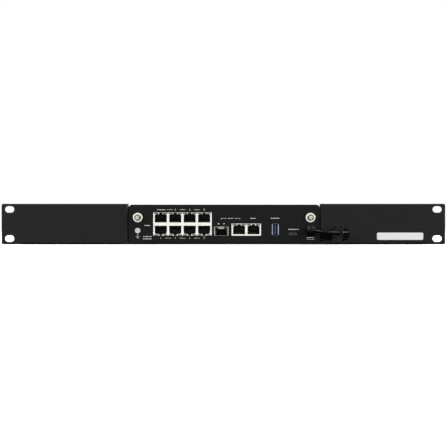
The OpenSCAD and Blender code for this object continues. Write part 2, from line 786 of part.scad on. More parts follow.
// Tube of radius r swept along a list of points.
module swept_tube(pts, r, sides) {
    n = len(pts);
    rings = [for (i = [0 : n - 1]) each route_ring(pts, i, r, sides)];
    walls = [for (i = [0 : n - 2], k = [0 : sides - 1])
        let (a = i * sides, k1 = (k + 1) % sides)
        [a + k, a + k1, a + sides + k1, a + sides + k]];
    ends = [[for (k = [sides - 1 : -1 : 0]) k], [for (k = [0 : sides - 1]) (n - 1) * sides + k]];
    polyhedron(points = rings, faces = concat(walls, ends), convexity = 8);
}

// Lead from the plug, round the loop in front of the wing, through the bushing and back to the adapter.
module power_lead() {
    color("#0f0f0f") swept_tube(lead_route, lead_d / 2, 12);
}

// ---- power adapter ----

adapter_mid = adapter_z + adapter_h / 2;
inlet_y = adapter_y + adapter_l;
inlet_half_w = 13.5;
inlet_half_h = 10;

// (x, z) outline of the adapter, shrunk by inset.
module adapter_outline(inset) {
    round_rect([adapter_x - adapter_w / 2 + inset, adapter_x + adapter_w / 2 - inset],
               [adapter_z + inset, adapter_z + adapter_h - inset], 4 - inset);
}

// Hollow adapter case between two heights.
module adapter_shell(z0, z1) {
    difference() {
        intersection() {
            along_y(adapter_y, inlet_y) adapter_outline(0);
            block([0, 300], [0, 300], [z0, z1]);
        }
        along_y(adapter_y + adapter_wall, inlet_y - adapter_wall) adapter_outline(adapter_wall);
        block([adapter_x - inlet_half_w - 0.1, adapter_x + inlet_half_w + 0.1], [inlet_y - 5, inlet_y + 1],
              [adapter_mid - inlet_half_h - 0.1, adapter_mid + inlet_half_h + 0.1]);
        bar_y(adapter_x, bushing_z, adapter_y - 1, adapter_y + 5, 4);
    }
}

module adapter_lower_shell() { color("#1b1b1b") adapter_shell(adapter_z, adapter_mid); }
module adapter_upper_shell() { color("#1b1b1b") adapter_shell(adapter_mid, adapter_z + adapter_h); }

// Board, transformer, bulk capacitor and heat spreader inside the adapter.
module adapter_innards() {
    z = adapter_z + adapter_wall + 2;
    color("#2f6b3a") block([adapter_x - 22, adapter_x + 22], [adapter_y + 8, inlet_y - 24], [z, z + 1.6]);
    color("#c9a13a")
        block([adapter_x - 11, adapter_x + 11], [adapter_y + 34, adapter_y + 56], [z + 1.6, z + 20]);
    color("#23262b") translate([adapter_x + 6, adapter_y + 70, z + 1.6]) cylinder(r = 8, h = 18);
    color("#a5a8ab")
        block([adapter_x - 20, adapter_x - 17], [adapter_y + 20, adapter_y + 76], [z + 1.6, z + 18]);
}

module adapter_inlet() {
    color("#121212") difference() {
        block([adapter_x - inlet_half_w, adapter_x + inlet_half_w], [inlet_y - 20, inlet_y + 1],
              [adapter_mid - inlet_half_h, adapter_mid + inlet_half_h]);
        along_y(inlet_y - 16, inlet_y + 2) polygon([
            [adapter_x - 12, adapter_mid - 8], [adapter_x + 12, adapter_mid - 8],
            [adapter_x + 12, adapter_mid + 3], [adapter_x + 7, adapter_mid + 8],
            [adapter_x - 7, adapter_mid + 8], [adapter_x - 12, adapter_mid + 3]
        ]);
    }
}

module inlet_blades() {
    color("#c9b27a") for (p = [[-7, -2.5], [7, -2.5], [0, 2]])
        block([adapter_x + p[0] - 1, adapter_x + p[0] + 1], [inlet_y - 16, inlet_y - 2],
              [adapter_mid + p[1] - 2, adapter_mid + p[1] + 2]);
}

// ---- aerial jacks, earth screw and buttons ----

thread_r = 3.15;
neck_r = 2.8;

// Aerial jack: free thread, neck under the nut, flange behind the panel and a solder tail.
module aerial_jack(x) {
    difference() {
        union() {
            bar_y(x, aerial_z, -11, -4, thread_r);
            bar_y(x, aerial_z, -4, 3, neck_r);
            bar_y(x, aerial_z, 3, 5, 4.6);
            bar_y(x, aerial_z, 5, 12, 2);
        }
        bar_y(x, aerial_z, -12, -4, 2.3);
        bar_y(x, aerial_z, -5, 13, 1.1);
    }
}

module aerial_jacks() {
    color("#d8c9a0") for (s = [-1, 1]) aerial_jack(case_x + s * aerial_dx);
}

module aerial_nuts() {
    color("#d8c9a0") for (s = [-1, 1]) along_y(face_y - 2.7, face_y - 0.7)
        translate([case_x + s * aerial_dx, aerial_z]) difference() {
            circle(r = 4.6, $fn = 6);
            circle(r = neck_r + 0.05);
        }
}

module aerial_washers() {
    color("#d2d2cc") for (s = [-1, 1]) along_y(face_y - 0.7, face_y)
        translate([case_x + s * aerial_dx, aerial_z]) difference() {
            circle(r = 5.2);
            circle(r = neck_r + 0.05);
        }
}

module aerial_insulators() {
    color("#eceadf") for (s = [-1, 1]) {
        x = case_x + s * aerial_dx;
        bar_y(x, aerial_z, -10, -4, 2.25);
        bar_y(x, aerial_z, -4, 12, 1.05);
        bar_y(x, aerial_z, -10.7, -10, 0.6);
    }
}

module earth_screw() {
    color("#cfcfca") translate([earth_x, face_y - 0.6, earth_z]) rotate([90, 0, 0]) pan_screw(2.9, 2, 1.5, 6);
}

module earth_washer() {
    color("#b9b9b4") along_y(face_y - 0.6, face_y) translate([earth_x, earth_z]) difference() {
        circle(r = 3.4);
        circle(r = 1.6);
    }
}

button_y = 3;

// Plunger of a recessed button at height z, with a collar that its switch frame holds.
module button(z) {
    bar_y(button_x, z, button_y, button_y + 3.5, 1.2);
    bar_y(button_x, z, button_y + 2.2, button_y + 3, 1.9);
}

module reset_button() { color("#c63a2c") button(reset_z); }
module defaults_button() { color("#d8d8d8") button(defaults_z); }

// Upright carrier board with the two switch bodies behind the plungers.
module button_switches() {
    y0 = button_y + 3.5 + button_travel + 0.1;
    color("#2a2a2a") for (z = [reset_z, defaults_z])
        block([button_x - 2.4, button_x + 2.4], [y0, y0 + 2.4], [z - 2.4, z + 2.4]);
    color("#2f6b3a") block([button_x - 4, button_x + 4], [y0 + 2.4, y0 + 4], [board_top, reset_z + 4]);
}

// ---- main board and what it carries ----

standoffs = concat(
    [for (x = [-92, 92], y = [34, 156]) [case_x + x, y]],
    [for (y = [56, 156]) [case_x + 9, y]]
);
chip = [case_x + 8, 96];

module main_board() {
    color("#22593a") difference() {
        block([case_left + 5, case_right - 5], [case_y + 1, board_d], [board_top - board_t, board_top]);
        for (p = standoffs)
            translate([p[0], p[1], board_top - board_t - 1]) cylinder(r = 1.6, h = board_t + 2);
    }
}

module board_standoffs() {
    z0 = case_z + base_t;
    color("#c4ad6a") for (p = standoffs) translate([p[0], p[1], z0]) difference() {
        cylinder(r = 2.9, h = board_top - board_t - z0, $fn = 6);
        translate([0, 0, 1]) cylinder(r = 1.25, h = 20);
    }
}

module board_screws() {
    color("#b8b8b8") for (p = standoffs)
        translate([p[0], p[1], board_top]) pan_screw(2.8, 1.8, 1.2, board_t + 2.4);
}

module processor() {
    color("#1d2a24") translate([chip[0] - 13, chip[1] - 13, board_top]) cube([26, 26, 1]);
    color("#2a2d30") translate([chip[0] - 10, chip[1] - 10, board_top + 1]) cube([20, 20, 1.2]);
}

module heatsink() {
    z0 = board_top + 2.2;
    color("#6f7276") {
        block([chip[0] - 32, chip[0] + 32], [chip[1] - 30, chip[1] + 30], [z0, z0 + 3]);
        for (i = [0 : 12]) block([chip[0] - 32 + i * 5.2, chip[0] - 32 + i * 5.2 + 1.4],
            [chip[1] - 30, chip[1] + 30], [z0 + 3, z0 + 16]);
    }
}

module memory_chips() {
    color("#202224") for (i = [0 : 3])
        translate([chip[0] - 64, chip[1] - 24 + i * 14, board_top]) cube([9, 12, 1.1]);
}

// Isolation transformers behind the network jacks.
module jack_transformers() {
    color("#17191b") {
        for (c = [-1.5 : 1 : 1.5]) block([lan_x + c * port_pitch - 6.5, lan_x + c * port_pitch + 6.5],
            [jack_d + 4, jack_d + 20], [board_top, board_top + 5.6]);
        for (c = [-0.5, 0.5]) block([wan_x + c * port_pitch - 6.5, wan_x + c * port_pitch + 6.5],
            [jack_d + 4, jack_d + 20], [board_top, board_top + 5.6]);
    }
}

module capacitors() {
    small = [3.15, 7];
    wide = [4, 9];
    tall = [5, 12];
    cans = [[60, 40, wide], [70, 40, wide], [80, 40, tall], [62, 60, small], [72, 60, small], [82, 62, tall]];
    color("#2c3640") for (p = cans)
        translate([case_x + p[0], p[1], board_top]) cylinder(r = p[2][0], h = p[2][1]);
}

module power_inductors() {
    color("#3c3c3e") for (p = [[60, 78], [74, 78], [60, 94], [74, 94]])
        block([case_x + p[0], case_x + p[0] + 10], [p[1], p[1] + 10], [board_top, board_top + 4.5]);
}

// Plug-in radio card with its shield can.
module radio_card() {
    color("#22593a") block([case_left + 14, case_left + 44], [60, 110], [board_top + 6, board_top + 7]);
    color("#b9bcc0") block([case_left + 17, case_left + 41], [66, 96], [board_top + 7, board_top + 9.2]);
    color("#181818") block([case_left + 16, case_left + 42], [110, 118], [board_top, board_top + 8]);
}

module coin_cell() {
    color("#c9ccd0") translate([case_x - 40, 142, board_top + 1.2]) cylinder(r = 10, h = 3.2);
    color("#181818") difference() {
        translate([case_x - 40, 142, board_top]) cylinder(r = 12, h = 3.6);
        translate([case_x - 40, 142, board_top + 1.2]) cylinder(r = 10, h = 5);
    }
}

rack_tray();
left_guide_bracket();
right_guide_bracket();
rear_stop_bracket();
adapter_clamp();
bracket_screws();
case_side_screws();
foam_pads();
front_label();
port_panel();
case_base();
case_cover();
case_bezel();
status_lights();
cover_screws();
lan_jack_shield();
lan_jack_insert();
uplink_jack_shield();
uplink_jack_insert();
jack_contacts();
jack_light_windows();
module_cage();
module_connector();
data_port_shell();
data_port_tongue();
console_port_shell();
console_port_tongue();
power_jack();
power_jack_pin();
aerial_jacks();
aerial_nuts();
aerial_washers();
aerial_insulators();
earth_screw();
earth_washer();
reset_button();
defaults_button();
button_switches();
main_board();
board_standoffs();
board_screws();
processor();
heatsink();
memory_chips();
jack_transformers();
capacitors();
power_inductors();
radio_card();
coin_cell();
adapter_lower_shell();
adapter_upper_shell();
adapter_innards();
adapter_inlet();
inlet_blades();
lead_bracket();
lead_bushing();
lead_boot();
power_lead();
power_plug();
plug_barrel();
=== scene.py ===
import json
import math

import bmesh
import bpy
from mathutils import Matrix, Vector


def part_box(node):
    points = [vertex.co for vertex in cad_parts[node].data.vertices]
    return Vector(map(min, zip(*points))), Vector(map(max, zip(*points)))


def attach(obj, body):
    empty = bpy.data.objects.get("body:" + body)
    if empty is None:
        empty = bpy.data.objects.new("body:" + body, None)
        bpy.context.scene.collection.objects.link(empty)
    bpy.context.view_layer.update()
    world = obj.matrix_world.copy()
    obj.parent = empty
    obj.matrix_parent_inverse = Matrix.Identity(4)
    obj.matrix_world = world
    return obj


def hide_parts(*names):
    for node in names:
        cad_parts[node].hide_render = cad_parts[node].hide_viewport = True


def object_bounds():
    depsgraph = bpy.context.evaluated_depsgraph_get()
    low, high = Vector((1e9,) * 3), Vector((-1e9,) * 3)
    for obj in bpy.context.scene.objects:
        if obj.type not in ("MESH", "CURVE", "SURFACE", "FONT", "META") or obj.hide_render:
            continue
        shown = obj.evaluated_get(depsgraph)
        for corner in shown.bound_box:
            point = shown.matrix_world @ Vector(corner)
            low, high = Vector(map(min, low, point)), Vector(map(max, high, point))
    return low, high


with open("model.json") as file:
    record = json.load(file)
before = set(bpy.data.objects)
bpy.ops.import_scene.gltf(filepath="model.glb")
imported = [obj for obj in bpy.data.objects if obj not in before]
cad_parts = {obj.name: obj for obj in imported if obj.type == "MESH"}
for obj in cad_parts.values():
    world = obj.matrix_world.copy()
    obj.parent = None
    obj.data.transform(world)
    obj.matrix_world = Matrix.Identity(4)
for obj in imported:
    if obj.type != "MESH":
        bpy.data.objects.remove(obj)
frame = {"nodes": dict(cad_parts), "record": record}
cad_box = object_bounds()

MM = 0.001
NODES = frame["nodes"]
MAIN = "tray_and_case"
SLOT_OF = {s["node"]: s["material_slot"] for s in frame["record"]["subparts"]}
BODY_OF = {n: b for b, ns in frame["record"]["behaviour"]["bodies"].items() for n in ns}

# Measures that several pieces share, in millimetres. The port side faces towards -y.
FACE_Y = -1.0  # outer face of the port panel
PORT_PITCH = 15.7  # from one network jack to the next
TAIL_BEND_Y = -22  # where the plug's tail starts to bend
TAIL_R = 30  # radius of that bend


def centre(node):
    lo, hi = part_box(node)
    return (lo + hi) / 2


# ---- materials ----

class Shader:
    """A material with a Principled shader, and short calls for the nodes around it."""

    def __init__(self, name, color, rough, metal=0.0, **sockets):
        self.mat = bpy.data.materials.new(name)
        self.mat.use_nodes = True
        self.tree = self.mat.node_tree
        self.bsdf = self.tree.nodes["Principled BSDF"]
        self.coord = self.tree.nodes.new("ShaderNodeTexCoord").outputs["Object"]
        self.bsdf.inputs["Base Color"].default_value = (*color, 1)
        self.bsdf.inputs["Roughness"].default_value = rough
        self.bsdf.inputs["Metallic"].default_value = metal
        for key, value in sockets.items():
            self.bsdf.inputs[key.replace("_", " ")].default_value = value
        self.normal = None

    def node(self, kind, **props):
        n = self.tree.nodes.new(kind)
        for key, value in props.items():
            setattr(n, key, value)
        return n

    def link(self, out, into):
        self.tree.links.new(out, into)

    def stretched(self, scale):
        m = self.node("ShaderNodeMapping")
        m.inputs["Scale"].default_value = scale
        self.link(self.coord, m.inputs["Vector"])
        return m.outputs["Vector"]

    def noise(self, size, detail=2.0, rough=0.5, stretch=None):
        """Noise whose features are about size millimetres across."""
        n = self.node("ShaderNodeTexNoise")
        n.inputs["Scale"].default_value = 1000 / size
        n.inputs["Detail"].default_value = detail
        n.inputs["Roughness"].default_value = rough
        self.link(self.stretched(stretch) if stretch else self.coord, n.inputs["Vector"])
        return n.outputs["Fac"]

    def cells(self, size, feature="F1", out="Distance", stretch=None):
        n = self.node("ShaderNodeTexVoronoi", feature=feature)
        n.inputs["Scale"].default_value = 1000 / size
        self.link(self.stretched(stretch) if stretch else self.coord, n.inputs["Vector"])
        return n.outputs[out]

    def remap(self, value, lo, hi, to_lo, to_hi):
        n = self.node("ShaderNodeMapRange")
        for key, v in (("From Min", lo), ("From Max", hi), ("To Min", to_lo), ("To Max", to_hi)):
            n.inputs[key].default_value = v
        self.link(value, n.inputs["Value"])
        return n.outputs["Result"]

    def mix(self, fac, a, b):
        """Blends two colours, given as values or as outputs of nodes."""
        n = self.node("ShaderNodeMix", data_type="RGBA")
        self.link(fac, n.inputs["Factor"])
        for key, c in (("A", a), ("B", b)):
            socket = [i for i in n.inputs if i.name == key and i.type == "RGBA"][0]
            if isinstance(c, tuple):
                socket.default_value = (*c, 1)
            else:
                self.link(c, socket)
        return [o for o in n.outputs if o.type == "RGBA"][0]

    def color(self, out):
        self.link(out, self.bsdf.inputs["Base Color"])
        return self

    def rough(self, value, to_lo, to_hi, lo=0.3, hi=0.7):
        self.link(self.remap(value, lo, hi, to_lo, to_hi), self.bsdf.inputs["Roughness"])
        return self

    def bump(self, height, depth, strength=1.0):
        """Adds relief of about depth millimetres."""
        n = self.node("ShaderNodeBump")
        n.inputs["Distance"].default_value = depth * MM
        n.inputs["Strength"].default_value = strength
        self.link(height, n.inputs["Height"])
        if self.normal:
            self.link(self.normal, n.inputs["Normal"])
        self.normal = n.outputs["Normal"]
        self.link(self.normal, self.bsdf.inputs["Normal"])
        return self


def tint(color, k):
    return tuple(min(1.0, c * k) for c in color)


def painted(name, color, rough, grain, depth, spec):
    """Powder coat or textured paint: fine orange peel and faint blotches."""
    s = Shader(name, color, rough, Specular_IOR_Level=spec)
    s.color(s.mix(s.noise(18, 4), tint(color, 0.82), tint(color, 1.2)))
    s.rough(s.noise(grain * 3, 3), rough - 0.07, rough + 0.07)
    s.bump(s.noise(grain * 6, 2), depth * 1.5, 0.6)
    s.bump(s.noise(grain, 3, 0.6), depth)
    return s.mat


def moulded(name, color, rough, grain=0.25, depth=0.012, spec=0.4):
    """Moulded plastic with a fine spark-eroded texture."""
    s = Shader(name, color, rough, Specular_IOR_Level=spec)
    s.color(s.mix(s.noise(9, 3), tint(color, 0.85), tint(color, 1.15)))
    s.rough(s.noise(4, 4), rough - 0.06, rough + 0.08)
    s.bump(s.cells(grain), depth, 0.7)
    return s.mat


def plated(name, color, rough, wave=0.02, streak=None):
    """Plated sheet metal: slightly wavy, with faint handling marks and, if asked, a grain along one axis."""
    s = Shader(name, color, rough, 1.0)
    s.color(s.mix(s.noise(5, 4), tint(color, 0.9), tint(color, 1.06)))
    s.rough(s.noise(1.2, 5, 0.6), rough - 0.05, rough + 0.1)
    s.bump(s.noise(6, 1), wave)
    if streak:
        s.bump(s.noise(0.35, 2, 0.6, streak), 0.004, 0.7)
    return s.mat


def circuit_board(name, color):
    """Solder mask over copper tracks, with vias."""
    s = Shader(name, color, 0.32, Specular_IOR_Level=0.5, Coat_Weight=0.3, Coat_Roughness=0.2)
    tracks = s.remap(s.cells(3.4, "DISTANCE_TO_EDGE", stretch=(1, 0.35, 1)), 0.03, 0.07, 1, 0)
    vias = s.remap(s.cells(4.2), 0.1, 0.13, 1, 0)
    copper = s.mix(tracks, tint(color, 0.75), tint(color, 1.9))
    s.color(s.mix(vias, copper, (0.55, 0.5, 0.36)))
    s.bump(tracks, 0.03, 0.6)
    s.rough(s.noise(7, 3), 0.26, 0.42)
    return s.mat


def foam(name, color):
    s = Shader(name, color, 0.95, Specular_IOR_Level=0.15)
    s.color(s.mix(s.cells(0.6), tint(color, 0.4), tint(color, 1.5)))
    s.bump(s.cells(0.5), 0.12)
    return s.mat


def vinyl_label(name, color):
    s = Shader(name, color, 0.42, Specular_IOR_Level=0.4)
    s.color(s.mix(s.noise(12, 3), tint(color, 0.96), tint(color, 1.02)))
    s.rough(s.noise(2, 3), 0.36, 0.48)
    s.bump(s.noise(0.25, 2), 0.004, 0.6)
    return s.mat


def light_pipe(name, color):
    s = Shader(name, color, 0.3, Specular_IOR_Level=0.5, Transmission_Weight=0.25, IOR=1.49)
    s.color(s.mix(s.noise(1.6, 2), tint(color, 0.8), tint(color, 1.2)))
    s.rough(s.noise(0.6, 3), 0.22, 0.4)
    s.bump(s.noise(0.5, 2), 0.02, 0.5)
    return s.mat


def soft_plastic(name, color):
    """Flexible cable plastic: satin and slightly uneven."""
    s = Shader(name, color, 0.36, Specular_IOR_Level=0.25)
    s.color(s.mix(s.noise(3, 3), tint(color, 0.8), tint(color, 1.25)))
    s.rough(s.noise(1.5, 4), 0.28, 0.44)
    s.bump(s.noise(0.4, 2, 0.5), 0.01, 0.6)
    return s.mat


def ink(name, color):
    s = Shader(name, color, 0.6, Specular_IOR_Level=0.3)
    s.color(s.mix(s.noise(0.3, 3), tint(color, 0.8), tint(color, 1.05)))
    s.rough(s.noise(0.5, 2), 0.5, 0.7)
    s.bump(s.noise(0.15, 2), 0.004, 0.5)
    return s.mat


NICKEL = (0.72, 0.705, 0.66)
FINISHES = {
    "powder_coat": painted("powder_coat", (0.0081, 0.0081, 0.0083), 0.5, 0.45, 0.03, 0.21),
    "bracket_black": painted("bracket_black", (0.013, 0.013, 0.0137), 0.5, 0.45, 0.03, 0.28),
    "case_paint": painted("case_paint", (0.0038, 0.004, 0.0041), 0.46, 0.3, 0.02, 0.17),
    "zinc_screw": plated("zinc_screw", (0.66, 0.66, 0.64), 0.28, 0.01),
    "foam": foam("foam", (0.02, 0.02, 0.02)),
    "label_white": vinyl_label("label_white", (0.97, 0.955, 0.955)),
    "galvanised_steel": plated("galvanised_steel", (0.55, 0.56, 0.57), 0.36, 0.03, (1, 0.04, 1)),
    "bezel_plastic": moulded("bezel_plastic", (0.012, 0.012, 0.013), 0.5),
    "light_pipe": light_pipe("light_pipe", (0.2, 0.215, 0.15)),
    "nickel_shell": plated("nickel_shell", NICKEL, 0.2),
    "cage_steel": plated("cage_steel", (0.46, 0.44, 0.42), 0.32, 0.02),
    "jack_plastic": moulded("jack_plastic", (0.003, 0.003, 0.0034), 0.5, spec=0.25),
    "blue_plastic": moulded("blue_plastic", (0.02, 0.055, 0.17), 0.4),
    "gold_contacts": plated("gold_contacts", (0.83, 0.62, 0.27), 0.24),
    "brass_pin": plated("brass_pin", (0.74, 0.6, 0.36), 0.3),
    "gilt_brass": plated("gilt_brass", (0.93, 0.89, 0.78), 0.3),
    "white_insulator": moulded("white_insulator", (0.93, 0.9, 0.83), 0.45),
    "red_button": moulded("red_button", (0.07, 0.008, 0.007), 0.45),
    "switch_plastic": moulded("switch_plastic", (0.02, 0.02, 0.021), 0.5),
    "green_board": circuit_board("green_board", (0.012, 0.09, 0.04)),
    "chip_black": moulded("chip_black", (0.022, 0.022, 0.024), 0.55, 0.12),
    "heatsink_aluminium": plated("heatsink_aluminium", (0.6, 0.61, 0.62), 0.38, 0.01, (0.04, 1, 1)),
    "capacitor_can": moulded("capacitor_can", (0.05, 0.065, 0.085), 0.35, 0.6, 0.004),
    "cell_steel": plated("cell_steel", (0.72, 0.73, 0.74), 0.26, 0.01, (1, 0.05, 1)),
    "adapter_plastic": moulded("adapter_plastic", (0.012, 0.012, 0.0125), 0.5, 0.3, 0.02),
    "soft_black": soft_plastic("soft_black", (0.0013, 0.0013, 0.0014)),
}
# Materials of single pieces that look different in the photo from the rest of their slot. The aerial barrels'
# dark gilt is painted shade in their thread.
DIM_SHELL = plated("dim_shell", (0.2, 0.21, 0.24), 0.34, 0.01)
DULL_GOLD = plated("dull_gold", (0.3, 0.22, 0.1), 0.36)
# Painted shade: gilt darkened to stand in for the shadow in the aerial barrels' thread
PAINTED_SHADE_GILT = plated("painted_shade_gilt", (0.2, 0.17, 0.11), 0.38)
DULL_STEEL = plated("dull_steel", (0.2, 0.195, 0.18), 0.34, 0.01)
DARK_SHELL = plated("dark_shell", (0.06, 0.06, 0.062), 0.34, 0.01)
EARTH_STEEL = plated("earth_steel", (0.62, 0.6, 0.57), 0.3, 0.015)
WHITE_INK = ink("white_ink", (0.78, 0.79, 0.8))


# ---- mesh helpers ----

def place(name, mesh, slot, node=None, body=MAIN, material=None, crease=50):
    """Makes a piece of a mesh, smooth except over edges sharper than crease degrees, and rides it."""
    mesh.materials.clear()
    mesh.materials.append(material or FINISHES[slot])
    mesh.polygons.foreach_set("use_smooth", [True] * len(mesh.polygons))
    mesh.set_sharp_from_angle(angle=math.radians(crease))
    obj = bpy.data.objects.new(name, mesh)
    bpy.context.scene.collection.objects.link(obj)
    even = obj.modifiers.new("even", "WEIGHTED_NORMAL")
    even.keep_sharp = True
    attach(obj, body)
    if node:
        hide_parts(node)
    return obj


def from_bmesh(bm, name):
    bmesh.ops.recalc_face_normals(bm, faces=bm.faces)
    mesh = bpy.data.meshes.new(name)
    bm.to_mesh(mesh)
    bm.free()
    return mesh


def joined(name, bms):
    """One mesh of several bmeshes."""
    whole = bmesh.new()
    for bm in bms:
        part = from_bmesh(bm, name)
        whole.from_mesh(part)
        bpy.data.meshes.remove(part)
    return from_bmesh(whole, name)

MERGE = 1e-6  # metres within which the CAD mesh's points are one point
FLAT_ANGLE = math.radians(0.5)
SHARP_ANGLE = math.radians(35)


def cad_bmesh(node):
    """The CAD node's own surface, with its triangles joined into whole faces."""
    bm = bmesh.new()
    bm.from_mesh(NODES[node].data)
    bmesh.ops.remove_doubles(bm, verts=bm.verts, dist=MERGE)
    bmesh.ops.dissolve_limit(bm, angle_limit=FLAT_ANGLE, verts=bm.verts, edges=bm.edges)
    return bm


def refined(node, width=0.12, segments=2, least=0.0, material=None):
    """Stands for a CAD node with the same shape, its sharp edges rounded by width millimetres.
    Edges shorter than least millimetres stay sharp."""
    bm = cad_bmesh(node)
    edges = [e for e in bm.edges
             if e.is_manifold and e.calc_face_angle(0) > SHARP_ANGLE and e.calc_length() > least * MM]
    bmesh.ops.bevel(bm, geom=edges, offset=width * MM, offset_type="OFFSET", segments=segments,
                    profile=0.5, affect="EDGES", clamp_overlap=False)
    skin = from_bmesh(bm, node)
    return place(node + "_skin", skin, SLOT_OF[node], node, BODY_OF[node], material)


def lathe(profile, at, sides=64, radius=None):
    """Turns a profile of (radius, y) in millimetres about a line along y through at, a point in metres.
    radius, if given, takes (r, y, angle) and returns the radius there."""
    bm = bmesh.new()
    rings = []
    for r, y in profile:
        ring = []
        for i in range(sides):
            a = math.tau * i / sides
            q = radius(r, y, a) if radius else r
            ring.append(bm.verts.new(Vector(at) + Vector((q * math.cos(a), y, q * math.sin(a))) * MM))
        rings.append(ring)
    for low, high in zip(rings, rings[1:]):
        for i in range(sides):
            j = (i + 1) % sides
            bm.faces.new((low[i], low[j], high[j], high[i]))
    bmesh.ops.remove_doubles(bm, verts=bm.verts, dist=MERGE / 10)
    open_edges = [e for e in bm.edges if e.is_boundary]
    bmesh.ops.holes_fill(bm, edges=open_edges, sides=0)
    return bm


def hexagon(across):
    """Keeps a turned radius inside a hexagon of that width across its flats."""
    def inside(r, y, a):
        return min(r, across / 2 / math.cos((a % (math.pi / 3)) - math.pi / 6))
    return inside


def plate(rings, span, bevel=0.03):
    """Extrudes flat (x, z) outlines in millimetres from y span[0] to span[1], with rounded edges.
    The first outline is the outside, and the others are holes."""
    curve = bpy.data.curves.new("outline", "CURVE")
    curve.dimensions = "2D"
    curve.fill_mode = "BOTH"
    curve.extrude = max((span[1] - span[0]) / 2 - bevel, 0.001) * MM
    curve.bevel_depth = bevel * MM
    curve.bevel_resolution = 2
    curve.offset = -bevel * MM
    for ring in rings:
        spline = curve.splines.new("POLY")
        spline.points.add(len(ring) - 1)
        for point, (x, z) in zip(spline.points, ring):
            point.co = (x * MM, z * MM, 0, 1)
        spline.use_cyclic_u = True
    bm = stood_up("outline", curve, 0, (span[0] + span[1]) / 2, 0)
    bpy.data.curves.remove(curve)
    return bm


def stood_up(name, curve, x, y, z):
    """The mesh of a flat curve, turned to face -y and moved by millimetres."""
    obj = bpy.data.objects.new(name, curve)
    bm = bmesh.new()
    bm.from_mesh(obj.to_mesh())
    obj.to_mesh_clear()
    bpy.data.objects.remove(obj)
    stand = Matrix(((1, 0, 0, x * MM), (0, 0, -1, y * MM), (0, 1, 0, z * MM), (0, 0, 0, 1)))
    bmesh.ops.transform(bm, matrix=stand, verts=bm.verts)
    return bm


def about(middle, half):
    return (middle - half, middle + half)


def box_ring(x, z):
    return [(x[0], z[0]), (x[1], z[0]), (x[1], z[1]), (x[0], z[1])]


def arc(c, r, a0, a1, steps):
    """Points of an arc about c, angles in degrees."""
    angles = [math.radians(a0 + (a1 - a0) * i / steps) for i in range(steps + 1)]
    return [(c[0] + r * math.cos(a), c[1] + r * math.sin(a)) for a in angles]


def round_ring(x, z, r, steps):
    """Rectangle with round corners."""
    corners = ((x[1] - r, z[0] + r, -90), (x[1] - r, z[1] - r, 0),
               (x[0] + r, z[1] - r, 90), (x[0] + r, z[0] + r, 180))
    return [p for cx, cz, a in corners for p in arc((cx, cz), r, a, a + 90, steps)]


def block(x, y, z, bevel=0.1):
    """Box between ranges in millimetres, with rounded edges."""
    bm = bmesh.new()
    bmesh.ops.create_cube(bm, size=1)
    for v in bm.verts:
        v.co = Vector([(r[0] + r[1]) / 2 + (r[1] - r[0]) * c for r, c in zip((x, y, z), v.co)]) * MM
    bmesh.ops.bevel(bm, geom=bm.edges[:], offset=bevel * MM, offset_type="OFFSET", segments=2,
                    profile=0.5, affect="EDGES")
    return bm


# ---- tray, brackets, case and boards: CAD shapes with soft edges ----

# Width of the rounding in millimetres, its segments, and the shortest edge that gets it
ROUNDING = {
    "power_jack": (0.05, 2, 1.0),
    "rack_tray": (0.1, 2, 4.0),
    "adapter_lower_shell": (0.35, 3, 0),
    "adapter_upper_shell": (0.35, 3, 0),
    "front_label": (0.05, 2, 0),
    "foam_pads": (0.25, 3, 0),
    "jack_contacts": (0.06, 2, 0),
    "status_lights": (0.2, 3, 0),
}
OWN_FINISH = {
    "data_port_shell": DIM_SHELL,
    "console_port_shell": DULL_STEEL,
    "earth_washer": DARK_SHELL,
    "earth_screw": EARTH_STEEL,
    "jack_contacts": DULL_GOLD,
    "bracket_screws": DARK_SHELL,
    "case_side_screws": DARK_SHELL,
}
# Nodes that the functions below make anew
REMADE = {
    "power_lead", "aerial_jacks", "aerial_nuts", "aerial_washers", "aerial_insulators", "module_cage",
    "lan_jack_shield", "lan_jack_insert", "uplink_jack_shield", "uplink_jack_insert", "jack_light_windows",
}


def soft_edges():
    for node in NODES:
        if node not in REMADE:
            refined(node, *ROUNDING.get(node, ()), material=OWN_FINISH.get(node))


# ---- aerial jacks ----

THREAD_R = 3.15
THREAD_DEPTH = 0.36
THREAD_PITCH = 0.72
THREAD_START = -10.6
THREAD_LENGTH = 6.2
RINGS_PER_TURN = 8
NUT_CORNER_R = 4.6

# Profiles of (radius, y) in millimetres. The thread's rings go between the barrel's two.
BARREL_MOUTH = [(2.3, -4.5), (2.3, -10.8), (2.5, -11), (2.72, -11), (2.8, -10.9)]
BARREL_REAR = [(2.8, -4.2), (2.8, 3), (4.5, 3), (4.6, 3.1), (4.6, 4.9), (4.5, 5), (2, 5), (2, 11.8),
               (1.8, 12), (1.1, 12), (1.1, -4.5), (2.3, -4.5)]
NUT = [(2.85, -3.6), (3.2, -3.7), (4.4, -3.7), (4.62, -3.5), (4.62, -1.9), (4.4, -1.7), (2.85, -1.7),
       (2.85, -3.6)]
WASHER = [(2.85, -1.66), (2.95, -1.7), (5.05, -1.7), (5.2, -1.6), (5.2, -1.1), (5.1, -1), (2.85, -1),
          (2.85, -1.66)]
CORE = [(0.62, -9.5), (0.62, -9.9), (0.8, -10), (2.1, -10), (2.25, -9.85), (2.25, -4), (1.05, -4),
        (1.05, 11.8), (0.9, 12), (0.01, 12)]
SOCKET = [(0.01, -9.4), (0.3, -9.4), (0.3, -10.6), (0.36, -10.7), (0.52, -10.7), (0.6, -10.6),
          (0.6, -9.4)]


def threaded(r, y, a):
    """Radius at an angle. A screw thread runs round every ring that is wide enough, the hidden flange too."""
    if r < THREAD_R - 0.01:
        return r
    turn = (y / THREAD_PITCH - a / math.tau) % 1
    return r - THREAD_DEPTH * abs(2 * turn - 1)


